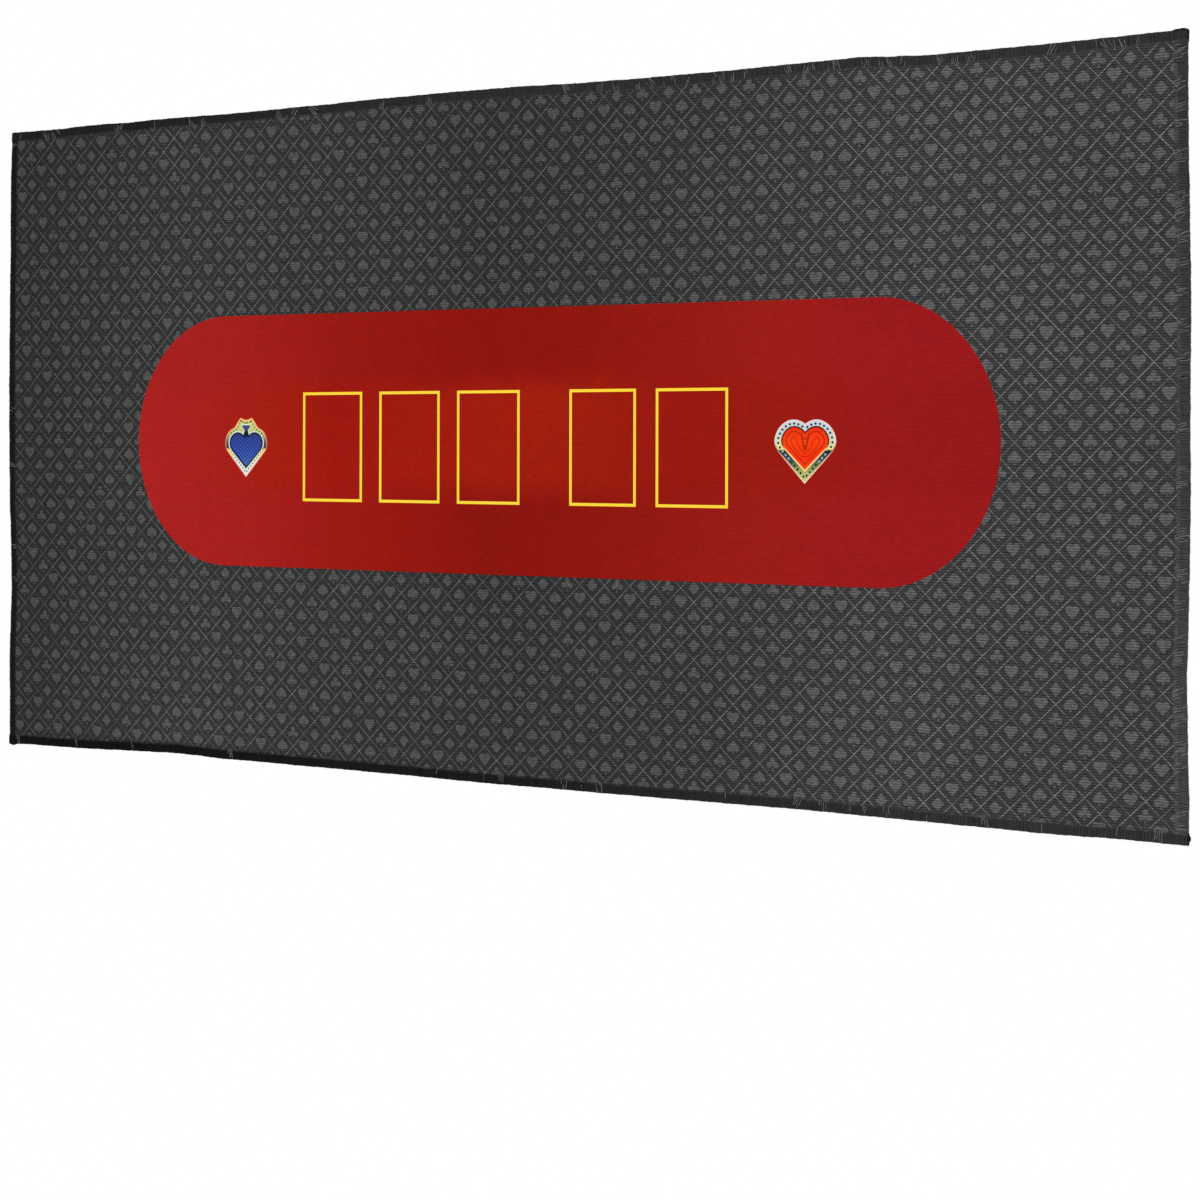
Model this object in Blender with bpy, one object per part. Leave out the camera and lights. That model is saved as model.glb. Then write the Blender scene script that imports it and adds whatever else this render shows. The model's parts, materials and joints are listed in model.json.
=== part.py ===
"""Two-sided roll-up casino table mat, lying flat with its blackjack face up.

Frame, metres: origin at the bottom centre of the mat, +X along its length to
the end that rolls up, +Y to the dealer's side, -Y to the players' side, +Z up
out of the blackjack face.

The mat is two printed cloths bonded back to back, closed on all four edges by
an overlock-stitched thread edging. The +X end is divided across the length
into narrow strips. Each strip hangs from an empty on its own hinge line, at
mid thickness, so that the end rolls up over either face as the sheet does.
"""

import math

import bmesh
import bpy

for old in list(bpy.data.objects):
    bpy.data.objects.remove(old, do_unlink=True)

# ---------------------------------------------------------------- dimensions
INCH = 0.0254
LENGTH = 48 * INCH
WIDTH = 24 * INCH

CLOTH = 0.0011          # one printed cloth
BOND = 0.0003           # bond line between the cloths
EDGE_W = 0.0080         # width of the overlock edging
EDGE_H = 0.0031         # its thickness, over the turned threads
GAP = 0.0003            # gap between pieces that touch
UNDER = (EDGE_H - 2 * CLOTH - BOND) / 2     # cloth sits mid-way up the edging

STRIPS = 13
PITCH = 0.025           # length of one strip of the rolling end
FOLD_GAP = 0.0012       # free line at each hinge, so that strips don't pinch

X_LEFT = -LENGTH / 2
X_ROLL = LENGTH / 2 - STRIPS * PITCH
MID = EDGE_H / 2
INSET = EDGE_W + GAP    # from the outer edge to the cloth
CLOTH_WIDTH = WIDTH - 2 * INSET


# ----------------------------------------------------------------- materials
def material(name, colour, roughness):
    made = bpy.data.materials.new(name)
    made.use_nodes = True
    shader = made.node_tree.nodes["Principled BSDF"]
    shader.inputs["Base Color"].default_value = (*colour, 1)
    shader.inputs["Roughness"].default_value = roughness
    shader.inputs["Metallic"].default_value = 0.0
    made.diffuse_color = (*colour, 1)
    return made


SUITED = material("suited_cloth", (0.040, 0.040, 0.042), 0.85)
FELT = material("felt_cloth", (0.056, 0.058, 0.060), 0.95)
THREAD = material("overlock_thread", (0.012, 0.012, 0.013), 0.80)


# -------------------------------------------------------------------- shapes
def cloth_mesh(name, length, surface):
    """A flat cloth from x = 0 to length, centred on y, from z = 0 up."""
    bm = bmesh.new()
    bmesh.ops.create_cube(bm, size=1.0)
    bmesh.ops.scale(bm, vec=(length, CLOTH_WIDTH, CLOTH), verts=bm.verts)
    bmesh.ops.translate(bm, vec=(length / 2, 0, CLOTH / 2), verts=bm.verts)
    return finish_mesh(bm, name, surface)


def edging_mesh(name, length, surface):
    """Edging along x from 0 to length. Its outer edge is y = 0, where the
    threads turn over in a half round; at y = EDGE_W it drops to the cloth."""
    r = EDGE_H / 2
    section = [
        (r - r * math.sin(math.pi * i / 8), r - r * math.cos(math.pi * i / 8))
        for i in range(9)
    ]
    section += [
        (EDGE_W - 0.0007, EDGE_H),
        (EDGE_W, EDGE_H - 0.0006),
        (EDGE_W, 0.0006),
        (EDGE_W - 0.0007, 0.0),
    ]
    bm = bmesh.new()
    face = bm.faces.new([bm.verts.new((0, y, z)) for y, z in section])
    grown = bmesh.ops.extrude_face_region(bm, geom=[face])["geom"]
    ends = [g for g in grown if isinstance(g, bmesh.types.BMVert)]
    bmesh.ops.translate(bm, vec=(length, 0, 0), verts=ends)
    bmesh.ops.recalc_face_normals(bm, faces=bm.faces)
    return finish_mesh(bm, name, surface)


def finish_mesh(bm, name, surface):
    mesh = bpy.data.meshes.new(name)
    bm.to_mesh(mesh)
    bm.free()
    mesh.materials.append(surface)
    mesh.shade_smooth()
    mesh.set_sharp_from_angle(angle=math.radians(35))
    return mesh


def piece(name, mesh, parent, location, turn=0.0):
    made = bpy.data.objects.new(name, mesh)
    made.parent = parent
    made.location = location
    made.rotation_euler = (0, 0, turn)
    bpy.context.scene.collection.objects.link(made)
    return made


def empty(name, parent, location):
    made = bpy.data.objects.new(name, None)
    made.empty_display_size = 0.02
    made.parent = parent
    made.location = location
    bpy.context.scene.collection.objects.link(made)
    return made


# ----------------------------------------------------- the length that is flat
mat = empty("mat", None, (0, 0, 0))
Z_POKER = UNDER
Z_BLACKJACK = UNDER + CLOTH + BOND

flat_length = X_ROLL - FOLD_GAP / 2 - X_LEFT
side_length = WIDTH - 2 * INSET
flat_poker = cloth_mesh("flat_poker", flat_length - INSET, SUITED)
flat_felt = cloth_mesh("flat_felt", flat_length - INSET, FELT)
flat_edging = edging_mesh("flat_edging", flat_length, THREAD)
side_edging = edging_mesh("side_edging", side_length, THREAD)

piece("poker_cloth", flat_poker, mat, (X_LEFT + INSET, 0, Z_POKER))
piece("blackjack_cloth", flat_felt, mat, (X_LEFT + INSET, 0, Z_BLACKJACK))
piece("overlock_front", flat_edging, mat, (X_LEFT, -WIDTH / 2, 0))
piece("overlock_back", flat_edging, mat,
      (X_LEFT + flat_length, WIDTH / 2, 0), math.pi)
piece("overlock_left", side_edging, mat,
      (X_LEFT, side_length / 2, 0), -math.pi / 2)

# -------------------------------------------------------- the end that rolls up
strip_length = PITCH - FOLD_GAP
strip_poker = cloth_mesh("strip_poker", strip_length, SUITED)
strip_felt = cloth_mesh("strip_felt", strip_length, FELT)
strip_edging = edging_mesh("strip_edging", strip_length, THREAD)
last_length = PITCH - FOLD_GAP / 2
last_poker = cloth_mesh("last_poker", last_length - INSET, SUITED)
last_felt = cloth_mesh("last_felt", last_length - INSET, FELT)
last_edging = edging_mesh("last_edging", last_length, THREAD)

hinge = mat
for k in range(1, STRIPS + 1):
    at = (X_ROLL, 0, MID) if k == 1 else (PITCH, 0, 0)
    hinge = empty("hinge_%02d" % k, hinge, at)
    last = k == STRIPS
    poker, felt, edging, length = (
        (last_poker, last_felt, last_edging, last_length)
        if last
        else (strip_poker, strip_felt, strip_edging, strip_length)
    )
    start = FOLD_GAP / 2
    piece("poker_cloth_%02d" % k, poker, hinge, (start, 0, Z_POKER - MID))
    piece("blackjack_cloth_%02d" % k, felt, hinge,
          (start, 0, Z_BLACKJACK - MID))
    piece("overlock_front_%02d" % k, edging, hinge, (start, -WIDTH / 2, -MID))
    piece("overlock_back_%02d" % k, edging, hinge,
          (start + length, WIDTH / 2, -MID), math.pi)
    if last:
        piece("overlock_right", side_edging, hinge,
              (PITCH, -side_length / 2, -MID), math.pi / 2)
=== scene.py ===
"""Looks of the two-sided roll-up casino table mat.

The mat lies flat with its blackjack face up (+Z) and its poker face down (-Z).
Each face is one printed cloth, cut into the lengths that the rolling end's
joints need; the prints are let into the cloth's own surface, so nothing lies
over anything. The edging is real yarns wound over the cloths' edges.
"""
import json
import math

import bpy
import numpy as np
from mathutils import Matrix, Vector
from mathutils.geometry import delaunay_2d_cdt


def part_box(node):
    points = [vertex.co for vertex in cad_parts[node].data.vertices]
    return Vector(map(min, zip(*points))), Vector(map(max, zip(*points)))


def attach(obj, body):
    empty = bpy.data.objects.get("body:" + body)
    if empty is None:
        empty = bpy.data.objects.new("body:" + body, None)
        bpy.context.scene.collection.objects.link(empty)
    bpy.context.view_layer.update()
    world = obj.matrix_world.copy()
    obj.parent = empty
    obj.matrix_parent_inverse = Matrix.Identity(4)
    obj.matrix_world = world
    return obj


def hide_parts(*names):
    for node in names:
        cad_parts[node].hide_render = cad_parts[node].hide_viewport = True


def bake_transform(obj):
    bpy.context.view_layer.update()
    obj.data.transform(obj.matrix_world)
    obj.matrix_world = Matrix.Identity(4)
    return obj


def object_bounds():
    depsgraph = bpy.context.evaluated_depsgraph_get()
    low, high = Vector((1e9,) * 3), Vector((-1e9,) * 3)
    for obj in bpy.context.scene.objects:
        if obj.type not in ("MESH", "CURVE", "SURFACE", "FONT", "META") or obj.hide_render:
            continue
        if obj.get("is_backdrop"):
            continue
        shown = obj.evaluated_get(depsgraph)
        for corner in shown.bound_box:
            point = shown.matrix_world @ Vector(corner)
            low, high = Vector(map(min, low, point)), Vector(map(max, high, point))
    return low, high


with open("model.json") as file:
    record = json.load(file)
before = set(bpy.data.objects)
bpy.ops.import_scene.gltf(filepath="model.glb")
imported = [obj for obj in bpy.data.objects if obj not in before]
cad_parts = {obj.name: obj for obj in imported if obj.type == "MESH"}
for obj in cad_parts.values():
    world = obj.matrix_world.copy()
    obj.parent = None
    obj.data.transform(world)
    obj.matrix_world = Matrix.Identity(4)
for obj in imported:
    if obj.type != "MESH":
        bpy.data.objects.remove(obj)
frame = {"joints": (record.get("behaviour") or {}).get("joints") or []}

SIZES = {"cad": [list(map(float, c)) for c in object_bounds()]}
MM = 0.001

(X0, Y0, Z0), (X1, Y1, Z1) = SIZES["cad"]
WIDTH = Y1 - Y0
EDGE_W = (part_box("overlock_front")[1][1] - Y0)
EDGE_H = Z1 - Z0
Z_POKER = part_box("poker_cloth")[0][2]
Z_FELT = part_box("blackjack_cloth")[1][2]
JOINTS = sorted(frame["joints"], key=lambda j: j["pos_m"][0])
HINGES = [j["pos_m"][0] for j in JOINTS]
PITCH = HINGES[1] - HINGES[0]
CUTS = [h - PITCH / 2 for h in HINGES]
STRIPS = len(HINGES)
rng = np.random.default_rng(7)


# ------------------------------------------------------------ how the mat lies
def swell(x, y):
    """How far the soft mat stands off a true plane: a slow swell, and a pucker
    along the overlocked edges."""
    x, y = np.asarray(x, float), np.asarray(y, float)
    off = np.minimum(np.minimum(x - X0, X1 - x), np.minimum(y - Y0, Y1 - y))
    off = np.clip(off, 0, None)
    slow = 0.10 * np.sin(17 * x + 2.1 * np.sin(9 * y + 1.3))
    slow = slow + 0.08 * np.sin(21 * y - 1.7 * np.sin(8 * x))
    s = x + y
    pucker = np.sin(s * 2 * math.pi / 0.047 + 1.9 * np.sin(s * 2 * math.pi / 0.31))
    pucker = pucker + 0.6 * np.sin(s * 2 * math.pi / 0.119 + 0.8)
    return MM * (slow + 0.16 * np.exp(-off / 0.014) * pucker)


# How far the trimmed outline stands outside (+) or inside (-) its straight
# side, in mm, at even steps along it: front and back from the left end, left
# and right from the front.
OUTLINE = {
    "front": (0.8, 0.5, 0.4, 1.3, 1.5, 0.8, 1.5, 1.5, 1.3, 0.9, 1.1, 1.3, 1.8, 1.7, 2.4, 2.9, 2.8, 3.1, 3.1, 2.9, 2.8,
              2.0, 1.2, 1.1, 0.7, 0.8, 0.9, 0.8, 1.3, 1.7, 2.0, 2.4, 0.6, -0.7, -0.5, -0.2, -0.1, 0.4, 0.9, 1.6, 2.2),
    "back": (2.2, 1.0, 0.9, 0.5, -0.2, -1.2, -1.9, -2.7, -2.3, -1.2, -1.4, -1.3, -1.0, -1.1, -1.0, -0.7, -0.8, -0.4, -0.1, 0.1, 0.0,
             -0.2, -0.1, 0.0, -0.2, -0.2, -0.4, -0.5, -0.6, -0.8, -0.6, -0.2, 0.0, 0.3, 0.7, 0.9, 1.4, 1.3, 0.7, 0.9, 1.3),
    "left": (3.2, 4.5, 5.4, 5.5, 5.5, 5.7, 6.1, 6.2, 6.2, 5.9, 5.6, 5.2, 4.6, 3.2, 2.1, 1.9, 2.6, 3.9, 3.6, 3.2, 3.3),
    "right": (0.2, 0.0, 0.1, 0.5, 1.2, 1.6, 2.1, 2.4, 2.0, 1.8, 1.6, 2.0, 1.8, 1.3, 0.7, 0.0, -0.9, -0.4, 0.0, 0.8, 0.2),
}


def trim(x, y):
    """A place on the straight-sided mat, moved to where it really is."""
    x, y = np.asarray(x, float), np.asarray(y, float)

    def side(name, f, off):
        v = np.array(OUTLINE[name])
        t = np.clip(f, 0, 1) * (len(v) - 1)
        k = np.clip(t.astype(int), 0, len(v) - 2)
        g = t - k
        g = g * g * (3 - 2 * g)
        fade = 1 - np.clip((off - 0.014) / 0.080, 0, 1)
        fade = fade * fade * (3 - 2 * fade)
        return MM * (v[k] * (1 - g) + v[k + 1] * g) * fade

    fx, fy = (x - X0) / (X1 - X0), (y - Y0) / (Y1 - Y0)
    dx = side("right", fy, X1 - x) - side("left", fy, x - X0)
    dy = side("back", fx, Y1 - y) - side("front", fx, y - Y0)
    return x + dx, y + dy


def wobble(s):
    """The fine raggedness of the edge of the mat, in metres, along its run s."""
    s = np.asarray(s, float)
    return MM * (0.10 * np.sin(s * 2 * math.pi / 0.021 + 1.1) + 0.08 * np.sin(s * 2 * math.pi / 0.0073 + 2.0 * np.sin(s * 9)))


# ----------------------------------------------------------------- node helpers
class Nodes:
    """A material being built, with arithmetic on its sockets."""

    def __init__(self, name, rough=0.85):
        self.m = bpy.data.materials.new(name)
        self.m.use_nodes = True
        self.t = self.m.node_tree
        self.p = self.t.nodes["Principled BSDF"]
        self.p.inputs["Roughness"].default_value = rough
        self.p.inputs["Metallic"].default_value = 0.0
        self.p.inputs["Specular IOR Level"].default_value = 0.25

    def put(self, socket, value):
        if isinstance(value, bpy.types.NodeSocket):
            self.t.links.new(value, socket)
        elif value is not None:
            socket.default_value = value

    def math(self, op, a, b=None, c=None, clamp=False):
        n = self.t.nodes.new("ShaderNodeMath")
        n.operation, n.use_clamp = op, clamp
        for i, v in enumerate((a, b, c)):
            self.put(n.inputs[i], v)
        return n.outputs[0]

    def add(self, a, b):
        return self.math("ADD", a, b)

    def sub(self, a, b):
        return self.math("SUBTRACT", a, b)

    def mul(self, a, b):
        return self.math("MULTIPLY", a, b)

    def ramp(self, value, low, high, to=(0.0, 1.0)):
        """value from low..high onto to, clamped and smooth."""
        n = self.t.nodes.new("ShaderNodeMapRange")
        n.interpolation_type = "SMOOTHSTEP"
        n.clamp = True
        for i, v in enumerate((value, low, high, to[0], to[1])):
            self.put(n.inputs[i], v)
        return n.outputs[0]

    def mix(self, factor, a, b, how="MIX"):
        n = self.t.nodes.new("ShaderNodeMix")
        n.data_type, n.blend_type = "RGBA", how
        n.clamp_factor = True
        for i, v in ((0, factor), (6, a), (7, b)):
            if isinstance(v, tuple) and len(v) == 3:
                v = (*v, 1.0)
            self.put(n.inputs[i], v)
        return n.outputs[2]

    def rest(self):
        """Rest-pose position, so that a pattern stays in the cloth when it rolls."""
        n = self.t.nodes.new("ShaderNodeAttribute")
        n.attribute_type, n.attribute_name = "GEOMETRY", "rest"
        s = self.t.nodes.new("ShaderNodeSeparateXYZ")
        self.t.links.new(n.outputs["Vector"], s.inputs[0])
        self.vector = n.outputs["Vector"]
        return s.outputs[0], s.outputs[1]

    def noise(self, scale, detail=2.0, rough=0.5, stretch=None, distortion=0.0):
        """Noise over the rest position; scale is in features per metre."""
        n = self.t.nodes.new("ShaderNodeTexNoise")
        n.inputs["Scale"].default_value = scale
        n.inputs["Detail"].default_value = detail
        n.inputs["Roughness"].default_value = rough
        n.inputs["Distortion"].default_value = distortion
        v = self.vector
        if stretch:
            s = self.t.nodes.new("ShaderNodeVectorMath")
            s.operation = "MULTIPLY"
            self.t.links.new(v, s.inputs[0])
            s.inputs[1].default_value = stretch
            v = s.outputs[0]
        self.t.links.new(v, n.inputs["Vector"])
        return n.outputs[0]

    def bump(self, height, distance, strength=1.0):
        n = self.t.nodes.new("ShaderNodeBump")
        n.inputs["Strength"].default_value = strength
        n.inputs["Distance"].default_value = distance
        self.t.links.new(height, n.inputs["Height"])
        self.t.links.new(n.outputs[0], self.p.inputs["Normal"])

    def colour(self, value):
        self.put(self.p.inputs["Base Color"], (*value, 1.0) if isinstance(value, tuple) else value)
        return self.m


def lin(r, g=None, b=None):
    """0..255 display values to linear."""
    g, b = (r if g is None else g), (r if b is None else b)
    out = []
    for c in (r, g, b):
        c = c / 255
        out.append(c / 12.92 if c <= 0.04045 else ((c + 0.055) / 1.055) ** 2.4)
    return tuple(out)


def seen(r, g=None, b=None, light=0.93, veil=0.0043):
    """Base colour that shows as this display value in the set's light."""
    return tuple(max(0.0008, (c - veil) / light) for c in lin(r, g, b))


# ------------------------------------------------------------------- materials
RIB = 2.1 * MM          # the printed cloth's cross rib
CELL = (25.67, 24.53)   # one repeat of the suit lattice, in mm


def ribs(n, x, y):
    """The fine cross rib of the printed cloth, broken up a little, from -1 to 1."""
    drift = n.mul(n.sub(n.noise(55, 2), 0.5), 2.2)
    wave = n.math("SINE", n.add(n.mul(y, 2 * math.pi / RIB), drift))
    yarn = n.math("SINE", n.add(n.mul(x, 2 * math.pi / (1.35 * MM)), n.mul(drift, 1.7)))
    return n.add(n.mul(wave, 0.8), n.mul(yarn, 0.2)), wave


def suited_cloth():
    n = Nodes("suited_cloth", 0.88)
    n.p.inputs["Specular IOR Level"].default_value = 0.1
    x, y = n.rest()
    # the lattice, in repeats, as the cloth was printed and stretched: it is a
    # little wider at one end than at the other
    u, v = n.mul(x, 1 / WIDTH), n.mul(y, 1 / WIDTH)

    def surface(k0, ku, kv, kuu, kuv, kvv):
        out = n.add(n.add(n.mul(u, ku), n.mul(v, kv)), k0)
        out = n.add(out, n.mul(n.mul(u, u), kuu))
        return n.add(out, n.add(n.mul(n.mul(u, v), kuv), n.mul(n.mul(v, v), kvv)))

    s = surface(0.4290, 23.7482, -0.2788, 0.4511, 0.8708, -0.1443)
    t = surface(0.2690, -0.0051, 24.8571, 0.1122, 0.6239, 0.7879)
    a, b = n.add(s, t), n.sub(s, t)
    i, j = n.math("ROUND", a), n.math("ROUND", b)
    ds = n.sub(s, n.mul(n.add(i, j), 0.5))
    dt = n.sub(t, n.mul(n.sub(i, j), 0.5))
    px = n.math("ABSOLUTE", n.mul(ds, CELL[0]))
    py = n.mul(dt, -CELL[1])
    second = n.math("ABSOLUTE", n.math("MODULO", n.add(i, j), 2.0))
    odd = n.math("ABSOLUTE", n.math("MODULO", i, 2.0))

    def length(u, v):
        return n.math("SQRT", n.add(n.mul(u, u), n.mul(v, v)))

    def disc(cx, cy, r):
        return n.sub(length(n.sub(px, cx), n.sub(py, cy)), r)

    def either(*d):
        out = d[0]
        for e in d[1:]:
            out = n.math("MINIMUM", out, e)
        return out

    # each suit as the distance to its edge, in mm
    wedge = n.sub(n.mul(px, 0.7308), n.mul(n.add(py, 5.45), 0.6826))
    heart = either(disc(2.75, 2.45, 3.3), n.math("MAXIMUM", wedge, n.sub(py, 0.7)))
    flare = n.add(0.50, n.mul(n.math("MAXIMUM", n.sub(-4.0, py), 0.0), 0.62))
    foot = n.math("MAXIMUM", n.sub(px, flare), n.sub(n.math("ABSOLUTE", n.add(py, 4.2)), 1.45))
    roof = n.add(n.mul(px, 0.6582), n.mul(n.sub(py, 5.95), 0.7529))
    spade = either(disc(3.05, -0.75, 2.95), n.math("MAXIMUM", roof, n.sub(0.9, py)), disc(0.0, -1.2, 2.35), foot)
    club = either(disc(0.0, 3.5, 2.5), disc(3.4, -0.65, 2.6), disc(0.0, 0.2, 2.0), foot)
    diamond = n.mul(n.sub(n.add(n.mul(px, 1 / 5.85), n.mul(n.math("ABSOLUTE", py), 1 / 5.65)), 1.0), 4.06)

    def pick(f, u, v):
        """u where f is 0, v where f is 1."""
        return n.add(n.mul(u, n.sub(1.0, f)), n.mul(v, f))

    d = pick(second, pick(odd, spade, heart), pick(odd, club, diamond))
    d = n.add(d, n.mul(n.sub(n.noise(900, 1), 0.5), 1.3))
    suit = n.ramp(d, 0.40, -0.40)
    halo = n.mul(n.ramp(d, 2.2, 0.4), n.sub(1.0, suit))

    # the lattice's lines run both ways and come and go
    half = 17.74
    la = n.mul(n.sub(0.5, n.math("ABSOLUTE", n.sub(a, i))), half)
    lb = n.mul(n.sub(0.5, n.math("ABSOLUTE", n.sub(b, j))), half)
    fine = n.noise(420, 2, 0.6)
    strong_a = n.mul(n.ramp(n.noise(33, 2, 0.55, (1.0, 1.0, 1.0)), 0.30, 0.62, (0.45, 1.0)), n.ramp(fine, 0.32, 0.58, (0.55, 1.0)))
    strong_b = n.mul(n.ramp(n.noise(29, 2, 0.55, (1.0, -1.0, 1.0)), 0.38, 0.68, (0.45, 1.0)), n.ramp(fine, 0.68, 0.42, (0.55, 1.0)))
    on_a, on_b = n.mul(n.ramp(la, 0.80, 0.26), strong_a), n.mul(n.ramp(lb, 0.80, 0.26), strong_b)
    bright = n.math("MAXIMUM", on_a, on_b)
    dark = n.mul(n.ramp(n.math("MINIMUM", la, lb), 2.1, 0.9), n.sub(1.0, bright))

    # painted light and shade: the print is drawn darker at the left end and paler and flatter towards the right end,
    # the way the light fell across the mat, not a change in the print itself
    where = n.t.nodes.new("ShaderNodeValToRGB")
    e = where.color_ramp.elements
    stops = ((0.02, 0.0), (0.18, 0.45), (0.35, 0.38), (0.50, 0.22), (0.65, 0.5), (0.80, 1.0), (0.97, 0.92))
    while len(e) < len(stops):
        e.new(0.5)
    for k, (at, g) in enumerate(stops):
        e[k].position, e[k].color = at, (g, g, g, 1)
    n.put(where.inputs[0], n.add(n.mul(x, 1 / (X1 - X0)), 0.5))
    f = n.math("MULTIPLY", where.outputs[0], 1.0)

    # painted light and shade: each colour goes from a shaded value at the left end to a lit value at the right end
    ground = n.mix(f, seen(45), seen(61))
    c = n.mix(n.mul(halo, 0.75), ground, n.mix(f, seen(38), seen(53)))
    c = n.mix(n.mul(dark, 0.75), c, n.mix(f, seen(38), seen(51)))
    c = n.mix(bright, c, n.mix(f, seen(86), seen(116)))
    c = n.mix(suit, c, n.mix(f, seen(71), seen(91)))
    weave, wave = ribs(n, x, y)
    grain = n.sub(n.noise(1300, 2, 0.6), 0.5)
    slub = n.sub(n.noise(560, 2, 0.65, (0.42, 1.0, 1.0)), 0.5)
    cloud = n.sub(n.noise(6, 3), 0.5)
    # the ribs' shading deepens with the painted light towards the right end
    deep = n.add(0.28, n.mul(f, 0.20))
    shade = n.add(1.0, n.add(n.mul(weave, deep), n.add(n.mul(grain, 1.1), n.add(n.mul(slub, 1.9), n.mul(cloud, 0.22)))))
    grey = n.t.nodes.new("ShaderNodeCombineColor")
    for k in range(3):
        n.put(grey.inputs[k], shade)
    c = n.mix(1.0, c, grey.outputs[0], "MULTIPLY")
    n.bump(n.add(n.mul(weave, 0.5), n.add(n.mul(grain, 0.5), n.mul(suit, 0.5))), 0.12 * MM, 0.5)
    return n.colour(c)


def track_red():
    """The racetrack's red: rosier at its ends, deeper along its upper and lower
    middle, and plain along its centre line."""
    n = Nodes("racetrack_red", 0.86)
    n.p.inputs["Specular IOR Level"].default_value = 0.1
    x, y = n.rest()

    def along(stops):
        r = n.t.nodes.new("ShaderNodeValToRGB")
        e = r.color_ramp.elements
        while len(e) < len(stops):
            e.new(0.5)
        for k, (at, c) in enumerate(stops):
            e[k].position, e[k].color = (at + 0.45) / 0.90, (*seen(*c), 1)
        n.put(r.inputs[0], n.mul(n.add(x, 0.45), 1 / 0.90))
        return r.outputs[0]

    outer = along(((-0.43, (164, 33, 32)), (-0.30, (162, 31, 27)), (-0.25, (158, 28, 24)), (-0.20, (150, 26, 19)), (-0.115, (145, 23, 16)),
                   (-0.035, (138, 22, 12)), (0.03, (139, 22, 15)), (0.08, (141, 24, 16)), (0.17, (148, 26, 21)), (0.24, (152, 29, 24)), (0.37, (154, 27, 29))))
    centre = along(((-0.42, (168, 33, 32)), (-0.36, (168, 32, 28)), (-0.256, (160, 30, 14)), (-0.20, (155, 24, 9)), (-0.115, (158, 27, 8)),
                    (0.03, (158, 30, 9)), (0.08, (156, 30, 13)), (0.17, (150, 25, 17)), (0.24, (151, 28, 17)), (0.37, (150, 26, 27))))
    c = n.mix(n.ramp(n.math("ABSOLUTE", n.add(y, n.mul(n.sub(n.noise(14, 2), 0.5), 0.03))), 0.064, 0.030), outer, centre)
    weave, wave = ribs(n, x, y)
    grain = n.sub(n.noise(1200, 2, 0.6), 0.5)
    slub = n.sub(n.noise(430, 2, 0.65, (0.40, 1.0, 1.0)), 0.5)
    cloud = n.add(n.sub(n.noise(5, 3), 0.5), n.mul(n.sub(n.noise(60, 3, 0.6), 0.5), 1.0))
    shade = n.add(1.0, n.add(n.mul(weave, 0.12), n.add(n.mul(grain, 0.5), n.add(n.mul(slub, 0.5), n.mul(cloud, 0.22)))))
    grey = n.t.nodes.new("ShaderNodeCombineColor")
    for k in range(3):
        n.put(grey.inputs[k], shade)
    c = n.mix(1.0, c, grey.outputs[0], "MULTIPLY")
    n.bump(n.add(n.mul(weave, 0.5), n.mul(grain, 0.5)), 0.10 * MM, 0.4)
    return n.colour(c)


def printed(name, colour, depth=0.07, mottle=0.10, rough=0.86, cloud_scale=6, sheen=0.0):
    """A flat printed colour on the ribbed cloth."""
    n = Nodes(name, rough)
    n.p.inputs["Specular IOR Level"].default_value = 0.1
    x, y = n.rest()
    weave, wave = ribs(n, x, y)
    grain = n.sub(n.noise(1200, 2, 0.6), 0.5)
    cloud = n.add(n.sub(n.noise(cloud_scale, 3), 0.5), n.mul(n.sub(n.noise(cloud_scale * 7, 3, 0.6), 0.5), 0.8))
    shade = n.add(1.0, n.add(n.mul(weave, depth), n.add(n.mul(grain, 0.5), n.mul(cloud, mottle))))
    grey = n.t.nodes.new("ShaderNodeCombineColor")
    for k in range(3):
        n.put(grey.inputs[k], shade)
    c = n.mix(1.0, colour, grey.outputs[0], "MULTIPLY")
    n.bump(n.add(n.mul(weave, 0.5), n.mul(grain, 0.5)), 0.10 * MM, 0.4)
    if sheen:
        n.p.inputs["Sheen Weight"].default_value = sheen
    return n.colour(c)


def banded(name, stops, axis, low, high, hatch=None, speck=0.25):
    """A printed colour that runs through stops along an axis of the mat, and may
    carry a fine hatch given as (x per metre, |x| centre, y per metre, depth)."""
    n = Nodes(name, 0.8)
    n.p.inputs["Specular IOR Level"].default_value = 0.1
    x, y = n.rest()
    along = n.sub(n.mul((x, y)[axis], 1.0), low)
    f = n.math("DIVIDE", along, high - low)
    f = n.add(f, n.mul(n.sub(n.noise(300, 1), 0.5), 0.03))
    r = n.t.nodes.new("ShaderNodeValToRGB")
    e = r.color_ramp.elements
    while len(e) < len(stops):
        e.new(0.5)
    for k, (at, c) in enumerate(stops):
        e[k].position, e[k].color = at, (*c, 1)
    n.put(r.inputs[0], f)
    c = r.outputs[0]
    if hatch:
        kx, mid, ky, depth, cross = hatch
        u = n.sub(x, mid)
        if not cross:
            u = n.math("ABSOLUTE", u)
        one = n.math("SINE", n.add(n.mul(u, kx), n.mul(y, ky)))
        if cross:
            two = n.math("SINE", n.sub(n.mul(u, kx), n.mul(y, ky)))
            one = n.mul(n.add(one, two), 0.5)
        shade = n.add(1.0, n.mul(one, depth))
    else:
        shade = n.add(1.0, 0.0)
    grain = n.sub(n.noise(1400, 2, 0.6), 0.5)
    weave, wave = ribs(n, x, y)
    shade = n.add(shade, n.add(n.mul(grain, speck), n.mul(weave, 0.05)))
    grey = n.t.nodes.new("ShaderNodeCombineColor")
    for k in range(3):
        n.put(grey.inputs[k], shade)
    c = n.mix(1.0, c, grey.outputs[0], "MULTIPLY")
    n.bump(n.mul(grain, 1.0), 0.08 * MM, 0.4)
    return n.colour(c)


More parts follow.
